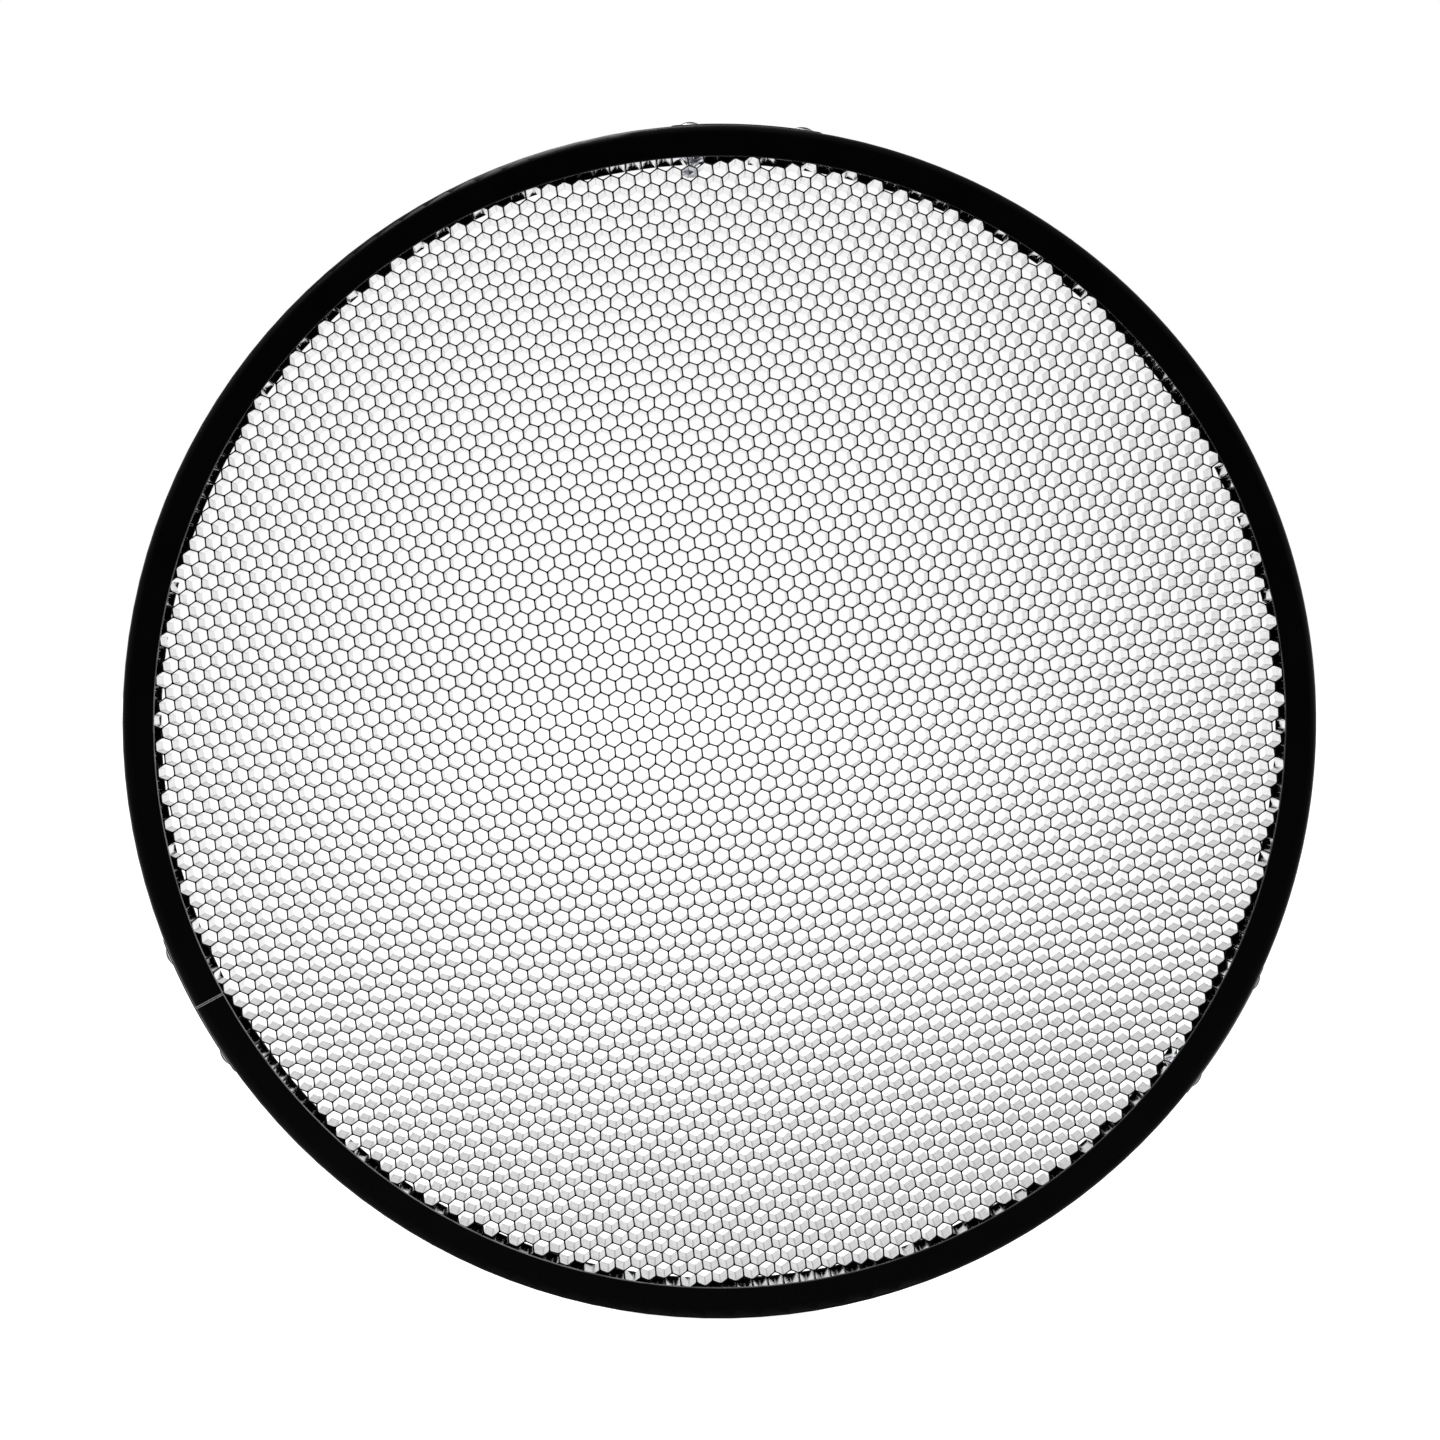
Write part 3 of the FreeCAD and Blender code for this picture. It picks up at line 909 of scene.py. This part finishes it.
    def mark_edges(self, piece: Any) -> None:
        """Give the faces on the core's front and rear the sawn-edge material, whose dark colour is painted
        shade.

        Args:
            piece: One of the core's pieces. Its second material is the sawn edge.
        """
        level_mm, facing = 0.3, 0.7
        mesh = piece.data
        normals = np.empty(len(mesh.polygons) * 3)
        mesh.polygons.foreach_get("normal", normals)
        centres = np.empty(len(mesh.polygons) * 3)
        mesh.polygons.foreach_get("center", centres)
        y = centres.reshape(-1, 3)[:, 1]
        at_end = np.minimum(np.abs(y - self.front), np.abs(y - self.rear)) < level_mm * MM
        sawn = at_end & (np.abs(normals.reshape(-1, 3)[:, 1]) > facing)
        mesh.polygons.foreach_set("material_index", sawn.astype(np.int32))


@dataclass
class SpringClip:
    """One strip of spring steel: a wide riveted base and a bent tongue."""

    number: int
    sheet_mm: float = 1.0
    base_width_mm: float = 64.0
    tongue_width_mm: float = 30.0
    straight_mm: float = 7.0
    drop_mm: float = 3.4
    reach_mm: float = 3.6
    lip_rise_mm: float = 5.0
    lip_reach_mm: float = 5.4
    bend_mm: float = 2.0
    base_corner_mm: float = 4.0
    lip_corner_mm: float = 3.0
    tumbled_mm: float = 0.18
    sharp_angle: float = 50.0
    smooth_angle: float = 40.0
    flex_reach_mm: float = 3.0
    column_mm: float = 2.0
    base_rows: int = 4
    corner_steps: int = 6
    straight_end: float = 0.005
    straight_steps: int = 5
    bent_steps: int = 22
    samples: int = 400

    def __post_init__(self) -> None:
        """Read the clip's place from the frame and work out its side view."""
        x, self.neck, z = hinge(self.number)["pos_m"]
        self.clock = math.degrees(math.atan2(x, z)) % 360
        self.base_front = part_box(f"clip_base_{self.number}")[0][1]
        self.middle_radius = -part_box("ring_channel")[0][0] + self.sheet_mm * MM / 2
        self.legs = self.side_legs()
        self.strip_length = sum(length for length, _ in self.legs)

    def side_legs(self) -> list[tuple[float, float]]:
        """Work out the stretches of the strip behind the ring's rear face.

        Returns:
            The length and the curvature of the straight, the knee, the way in, the detent and the
            lip.
        """
        slope_in = math.atan2(self.drop_mm, self.reach_mm)
        slope_out = math.atan2(self.lip_rise_mm, self.lip_reach_mm)
        down = math.hypot(self.drop_mm, self.reach_mm) * MM
        lip = math.hypot(self.lip_rise_mm, self.lip_reach_mm) * MM
        bend = self.bend_mm * MM
        knee_cut = bend * math.tan(slope_in / 2)
        detent_cut = bend * math.tan((slope_in + slope_out) / 2)
        return [
            (self.straight_mm * MM - knee_cut, 0.0),
            (bend * slope_in, -1 / bend),
            (down - knee_cut - detent_cut, 0.0),
            (bend * (slope_in + slope_out), 1 / bend),
            (lip - detent_cut, 0.0),
        ]

    def side_view(self, along: np.ndarray) -> tuple[np.ndarray, np.ndarray]:
        """Find where points along the strip lie in its side view.

        Args:
            along: The points' lengths along the strip. Below zero the strip is straight.

        Returns:
            The points' y, and their heights above the middle surface of the base.
        """
        lengths = np.linspace(0, self.strip_length, self.samples)
        ends = np.cumsum([length for length, _ in self.legs])
        leg = np.minimum(np.searchsorted(ends, lengths), len(self.legs) - 1)
        curve = np.array([curvature for _, curvature in self.legs])[leg]
        step = lengths[1] - lengths[0]
        angle = np.concatenate([[0], np.cumsum(curve[:-1] * step)])
        y = np.concatenate([[0], np.cumsum(np.cos(angle[:-1]) * step)])
        height = np.concatenate([[0], np.cumsum(np.sin(angle[:-1]) * step)])
        bent = np.clip(along, 0, self.strip_length)
        y_there = np.where(along < 0, along, np.interp(bent, lengths, y))
        return y_there, np.interp(bent, lengths, height)

    def flat_blank(self) -> Any:
        """Model the flat blank in edit mode: the base, the tongue and its rounded corners.

        Returns:
            The blank, flat in X and Y, with its length along Y.
        """
        columns = int(self.base_width_mm / self.column_mm)
        depth = self.neck - self.base_front
        bpy.ops.object.select_all(action="DESELECT")
        bpy.ops.mesh.primitive_grid_add(
            x_subdivisions=columns, y_subdivisions=self.base_rows, size=1, location=(0, 0, 0)
        )
        blank = bpy.context.active_object
        blank.name = f"spring_clip_{self.number}"
        blank.data.transform(
            Matrix.Translation((0, (self.neck + self.base_front) / 2, 0))
            @ Matrix.Diagonal((self.base_width_mm * MM, depth, 1, 1))
        )
        slack = 10 * TOUCH
        half_tongue = self.tongue_width_mm * MM / 2 + slack
        straight = np.linspace(self.neck, self.straight_end, self.straight_steps)[1:]
        bent = np.linspace(self.straight_end, self.strip_length, self.bent_steps)[1:]
        reached = self.neck
        for length in np.concatenate([straight, bent]):
            self.select_vertices(
                blank, lambda v: abs(v.co.y - reached) < TOUCH and abs(v.co.x) < half_tongue
            )
            bpy.ops.mesh.extrude_region_move(TRANSFORM_OT_translate={"value": (0, length - reached, 0)})
            bpy.ops.object.mode_set(mode="OBJECT")
            reached = length
        half_base = self.base_width_mm * MM / 2 - slack
        for ends, half_width, radius_mm in (
            ((self.base_front, self.neck), half_base, self.base_corner_mm),
            ((self.strip_length,), half_tongue - 5 * slack, self.lip_corner_mm),
        ):
            self.select_vertices(
                blank,
                lambda v: min(abs(v.co.y - end) for end in ends) < TOUCH and abs(v.co.x) > half_width,
            )
            bpy.ops.mesh.bevel(
                offset=radius_mm * MM, segments=self.corner_steps, affect="VERTICES", clamp_overlap=False
            )
            bpy.ops.object.mode_set(mode="OBJECT")
        return blank

    def select_vertices(self, piece: Any, wanted: Callable[[Any], bool]) -> None:
        """Enter edit mode with exactly the wanted vertices selected.

        Args:
            piece: The object to edit.
            wanted: Says whether a vertex is selected.
        """
        bpy.context.view_layer.objects.active = piece
        bpy.ops.object.mode_set(mode="EDIT")
        bpy.ops.mesh.select_mode(type="VERT")
        bpy.ops.mesh.select_all(action="DESELECT")
        bpy.ops.object.mode_set(mode="OBJECT")
        for vertex in piece.data.vertices:
            vertex.select = bool(wanted(vertex))
        bpy.ops.object.mode_set(mode="EDIT")

    def build(self, steel: Any) -> None:
        """Bend the blank round the ring and give it its thickness.

        Args:
            steel: The clip's material.
        """
        clip = self.flat_blank()
        flat = np.array([v.co for v in clip.data.vertices])
        y, height = self.side_view(flat[:, 1])
        turn = flat[:, 0] / self.middle_radius + math.radians(self.clock)
        radius = self.middle_radius + height
        bent = np.column_stack([radius * np.sin(turn), y, radius * np.cos(turn)])
        for vertex, place in zip(clip.data.vertices, bent):
            vertex.co = place
        clip.data.materials.append(steel)
        thick = clip.modifiers.new("thickness", "SOLIDIFY")
        thick.thickness = self.sheet_mm * MM
        thick.offset = 0
        thick.use_even_offset = True
        soft = clip.modifiers.new("tumbled_edges", "BEVEL")
        soft.width = self.tumbled_mm * MM
        soft.segments = 2
        soft.limit_method = "ANGLE"
        soft.angle_limit = math.radians(self.sharp_angle)
        bpy.ops.object.select_all(action="DESELECT")
        clip.select_set(True)
        bpy.context.view_layer.objects.active = clip
        bpy.ops.object.modifier_apply(modifier=thick.name)
        bpy.ops.object.modifier_apply(modifier=soft.name)
        self.face_outwards(clip)
        bpy.ops.object.shade_smooth_by_angle(angle=math.radians(self.smooth_angle))
        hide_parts(f"clip_base_{self.number}", f"clip_tongue_{self.number}")
        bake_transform(clip)
        LOG.info("%s at clock angle %.1f", clip.name, self.clock)

    def face_outwards(self, clip: Any) -> None:
        """Recalculate the closed shell's normals to point outwards.

        Args:
            clip: The clip, with its thickness.
        """
        self.select_vertices(clip, lambda v: True)
        bpy.ops.mesh.remove_doubles(threshold=TOUCH)
        bpy.ops.mesh.normals_make_consistent(inside=False)
        bpy.ops.object.mode_set(mode="OBJECT")


@dataclass
class Studio:
    """A white surround lit from behind, a pale floor and the camera."""

    distance: float = 1.72
    frame_width: float = 0.6014
    sensor_mm: float = 36.0
    eye: tuple[float, float] = (-0.034, 0.025)
    aim: tuple[float, float] = (-0.0005, 0.0012)
    back_light: float = 0.84
    side_light: float = 0.8
    front_light: float = 0.06
    front_fade: tuple[float, float] = (-0.93, -0.6)
    back_fade: tuple[float, float] = (0.8, 0.99)
    brighter_way: tuple[float, float, float] = (0.25, 0.0, -1.0)
    slope_fade: tuple[float, float] = (-0.2, 0.2)
    slope_light: tuple[float, float] = (0.73, 1.33)
    floor_size: float = 60.0
    floor_paint: float = 0.5
    floor_fade: tuple[float, float] = (-0.2, 0.3)
    floor_lift: float = 0.67
    softbox_size: tuple[float, float] = (1.6, 0.5)
    softbox_watts: float = 30.0
    softbox_place: tuple[float, float, float] = (-0.6, 0.3, 1.5)
    softbox_aim: tuple[float, float, float] = (0.0, 0.0, 0.1)
    wall_bounces: int = 12

    def build(self) -> None:
        """Make the surround, the floor, the lights and the camera.

        Light goes down a deep foil cell in many reflections, so the renderer may follow more of
        them than the four it starts with.
        """
        self.surround()
        self.floor()
        self.lights()
        self.camera()
        bpy.context.scene.view_settings.view_transform = "Standard"
        bpy.context.scene.cycles.glossy_bounces = self.wall_bounces

    def surround(self) -> None:
        """White to the eye everywhere, but as a light it is brightest behind the grid."""
        world = bpy.data.worlds.new("white_surround")
        bpy.context.scene.world = world
        world.use_nodes = True
        tree = world.node_tree
        tree.nodes.clear()
        direction = add_node(tree, "TexCoord", output="Generated")
        backwards = add_node(tree, "SeparateXYZ", direction, output="Y")
        front, side, back = self.front_light, self.side_light, self.back_light - self.side_light
        wide = add_node(tree, "MapRange", backwards, *self.front_fade, front, side)
        narrow = add_node(tree, "MapRange", backwards, *self.back_fade, 0.0, back)
        light = add_node(tree, "Math", wide, narrow, operation="ADD")
        slope = add_node(
            tree, "VectorMath", direction, self.brighter_way, operation="DOT_PRODUCT", output="Value"
        )
        slope = add_node(tree, "MapRange", slope, *self.slope_fade, *self.slope_light)
        light = add_node(tree, "Math", light, slope, operation="MULTIPLY")
        seen = add_node(tree, "LightPath", output="Is Camera Ray")
        power = add_node(tree, "Mix", seen, in_2=light, in_3=1.0, data_type="FLOAT")
        glow = add_node(tree, "Background", Color="#ffffff", Strength=power)
        add_node(tree, "OutputWorld", glow)

    def floor(self) -> None:
        """A pale floor that the ring stands on, bright enough to merge with the surround."""
        low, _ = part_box("ring_channel")
        bpy.ops.object.select_all(action="DESELECT")
        bpy.ops.mesh.primitive_plane_add(size=self.floor_size, location=(0, 0, low[2]))
        floor = bpy.context.active_object
        floor.name = "studio_floor"
        material, tree = new_material("pale_studio_floor")
        paint = add_node(tree, "BsdfDiffuse", Color=(*(self.floor_paint,) * 3, 1.0))
        seen = add_node(tree, "LightPath", output="Is Camera Ray")
        place = add_node(tree, "TexCoord", output="Object")
        backwards = add_node(tree, "SeparateXYZ", place, output="Y")
        behind = add_node(tree, "MapRange", backwards, *self.floor_fade, 0.0, self.floor_lift)
        power = add_node(tree, "Math", seen, behind, operation="MAXIMUM")
        glow = add_node(tree, "Emission", Strength=power)
        add_node(tree, "OutputMaterial", add_node(tree, "AddShader", paint, glow))
        floor.data.materials.append(material)

    def lights(self) -> None:
        """A soft light above on the left, for the sheen along the ring's rounded edges."""
        data = bpy.data.lights.new("top_left_softbox", "AREA")
        data.shape = "RECTANGLE"
        data.size, data.size_y = self.softbox_size
        data.energy = self.softbox_watts
        light = bpy.data.objects.new("top_left_softbox", data)
        light.location = self.softbox_place
        aim = Vector(self.softbox_aim) - light.location
        light.rotation_mode = "QUATERNION"
        light.rotation_quaternion = aim.to_track_quat("-Z", "Y")
        bpy.context.scene.collection.objects.link(light)

    def camera(self) -> None:
        """A long lens square to the front, a little left of the axis and above it."""
        low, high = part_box("ring_channel")
        data = bpy.data.cameras.new("camera")
        data.sensor_width = self.sensor_mm
        data.lens = self.sensor_mm * self.distance / self.frame_width
        data.clip_end = 100
        camera = bpy.data.objects.new("camera", data)
        camera.location = (self.eye[0], low[1] - self.distance, self.eye[1])
        middle = (Vector(low) + Vector(high)) / 2
        target = Vector((middle.x + self.aim[0], low[1], middle.z + self.aim[1]))
        camera.rotation_mode = "QUATERNION"
        camera.rotation_quaternion = (target - camera.location).to_track_quat("-Z", "Y")
        bpy.context.scene.collection.objects.link(camera)
        bpy.context.scene.camera = camera


def node_points(name: str) -> np.ndarray:
    """Return the points of a CAD node's mesh."""
    return np.array([v.co for v in frame["nodes"][name].data.vertices])


def node_clock(name: str) -> float:
    """Work out a CAD node's clock angle round the ring from the middle of its points.

    Args:
        name: The node's name.

    Returns:
        The angle in degrees.
    """
    points = node_points(name)
    middle = (points.min(axis=0) + points.max(axis=0)) / 2
    return math.degrees(math.atan2(middle[0], middle[2])) % 360


def flange_inside() -> float:
    """Return the radius of the flanges' inner edge, from the ring's points nearest to its axis."""
    points = node_points("ring_channel")
    return float(np.hypot(points[:, 0], points[:, 2]).min())


def hinge(number: int) -> dict[str, Any]:
    """Return the row of the joint at which a clip's tongue flexes."""
    return next(joint for joint in frame["joints"] if joint["child"] == f"tongue_{number}")


def main() -> None:
    """Dress the frame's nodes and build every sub-assembly in order."""
    logging.basicConfig(level=logging.INFO, format="%(name)s: %(message)s")
    clips = [SpringClip(number) for number in range(1, CLIP_COUNT + 1)]
    joint_clock = clips[JOINT_CLIP - 1].clock
    clip_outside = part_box("ring_channel")[1][0] + SpringClip.sheet_mm * MM
    dress_node("ring_channel", PowderCoat(flange_inside(), joint_clock).make())
    rivet_paint, mandrel_steel = PaintedRivet(clip_outside).make(), ZincPlatedSteel().make()
    for number in range(1, RIVET_COUNT + 1):
        dress_node(f"rivet_{number}", rivet_paint)
        dress_node(f"mandrel_{number}", mandrel_steel)
    clocks = tuple(node_clock(f"rivet_{number}") for number in range(1, RIVET_COUNT + 1))
    FoilCore(clocks).build(MillFoil().make(), CutFoilEdgeWithPaintedShade().make(), NodeAdhesive().make())
    steel = TemperedSpringSteel().make()
    for clip in clips:
        clip.build(steel)
    Studio().build()


if __name__ == "__main__":
    main()
